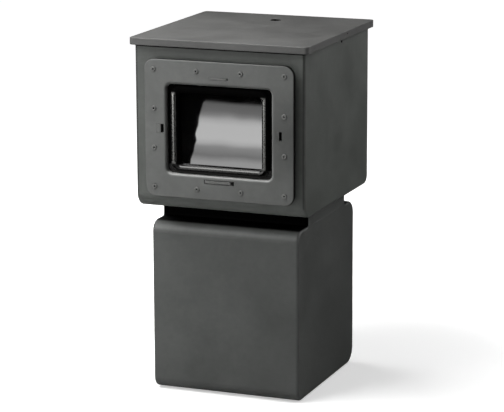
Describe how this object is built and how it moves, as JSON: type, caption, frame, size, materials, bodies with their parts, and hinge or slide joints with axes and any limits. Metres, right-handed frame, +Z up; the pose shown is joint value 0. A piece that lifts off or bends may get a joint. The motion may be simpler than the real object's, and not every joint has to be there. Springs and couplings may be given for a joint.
{
  "type": "wood burning stove",
  "caption": "Boxy steel wood stove on a narrower pedestal: hinged bolted door with framed glass, air sliders in slots, overhanging top plate, rear flue socket.",
  "frame": {"origin": "on the floor, under the middle of the bounding box", "axes": "+Z up, the door faces -Y, the flue leaves towards +Y, +X is the door's latch side"},
  "size_m": [0.52, 0.582, 1],
  "materials": {
    "body_paint": "satin heat-resistant grey paint, fine orange peel",
    "top_paint": "satin heat-resistant grey paint, a shade lighter",
    "door_paint": "satin heat-resistant grey paint",
    "frame_paint": "matt black heat-resistant paint",
    "bolt_paint": "painted over with the door",
    "enamel": "gloss black enamel",
    "slider_paint": "door paint, worn to bare steel along the edges",
    "screw_steel": "zinc plated",
    "dark_screws": "blackened",
    "inner_steel": "matt black, sooty",
    "iron": "rough casting",
    "duct_aluminium": "dull foil duct",
    "brass": "turned bearing brass",
    "brick": "pressed vermiculite, sooty",
    "wool": "mineral wool batt",
    "rope": "braided glass-fibre rope, graphite coated",
    "glass": "heat-resistant glass ceramic with a mirror coat"
  },
  "bodies": {
    "stove": {"pedestal_shell": "body_paint", "pedestal_rear_panel": "body_paint", "pedestal_panel_screws": "screw_steel", "air_intake_collar": "inner_steel", "air_duct": "duct_aluminium", "air_box": "inner_steel", "body_shell": "body_paint", "neck_bolts": "screw_steel", "neck_nuts": "screw_steel", "top_plate": "top_paint", "top_plate_bracket_left": "inner_steel", "top_plate_bracket_right": "inner_steel", "top_plate_screws": "dark_screws", "top_plate_grub_screws": "dark_screws", "firebox": "inner_steel", "ash_pan": "inner_steel", "grate_shelf": "inner_steel", "grate": "iron", "side_brick_left": "brick", "side_brick_right": "brick", "rear_brick": "brick", "floor_brick_left": "brick", "floor_brick_right": "brick", "floor_brick_rear": "brick", "baffle_plate": "brick", "baffle_rod": "inner_steel", "log_guard": "inner_steel", "insulation_left": "wool", "insulation_right": "wool", "flue_collar": "body_paint", "flue_collar_screws": "dark_screws", "levelling_feet": "screw_steel", "hinge_pins": "screw_steel", "hinge_screws": "screw_steel", "latch_keeper": "screw_steel", "hinge_bracket_lower": "frame_paint", "hinge_bracket_upper": "frame_paint"},
    "door": {"door_plate": "door_paint", "door_frame": "frame_paint", "door_seal": "rope", "door_bolts": "bolt_paint", "window_frame_screws": "screw_steel", "window_frame": "enamel", "window_lug_left": "door_paint", "window_lug_right": "door_paint", "glass_gasket": "rope", "glass_pane": "glass", "glass_clamp": "inner_steel", "glass_clamp_screws": "screw_steel", "hinge_leaf_lower": "frame_paint", "hinge_leaf_upper": "frame_paint", "latch_bush": "brass"},
    "latch": {"latch_spindle": "screw_steel", "latch_lever": "inner_steel", "latch_tongue": "inner_steel", "latch_nut": "screw_steel"},
    "primary_air_slider": {"primary_air_slider": "slider_paint"},
    "airwash_slider": {"airwash_slider": "slider_paint"},
    "base_air_slide": {"air_slide_plate": "inner_steel"}
  },
  "joints": [
    {"name": "door_hinge", "type": "hinge", "parent": "stove", "child": "door", "pos_m": [-0.202, -0.27, 0.7585], "axis": [0, 0, -1], "range_deg": [0, 105]},
    {"name": "door_latch", "type": "hinge", "parent": "door", "child": "latch", "pos_m": [0.194, -0.262, 0.6505], "axis": [0, 1, 0], "range_deg": [0, 90]},
    {"name": "primary_air_slide", "type": "slide", "parent": "door", "child": "primary_air_slider", "axis": [1, 0, 0], "range_m": [0, 0.0095]},
    {"name": "airwash_slide", "type": "slide", "parent": "door", "child": "airwash_slider", "axis": [1, 0, 0], "range_m": [0, 0.004]},
    {"name": "base_air_slide", "type": "slide", "parent": "stove", "child": "base_air_slide", "axis": [1, 0, 0], "range_m": [-0.035, 0.035]}
  ]
}
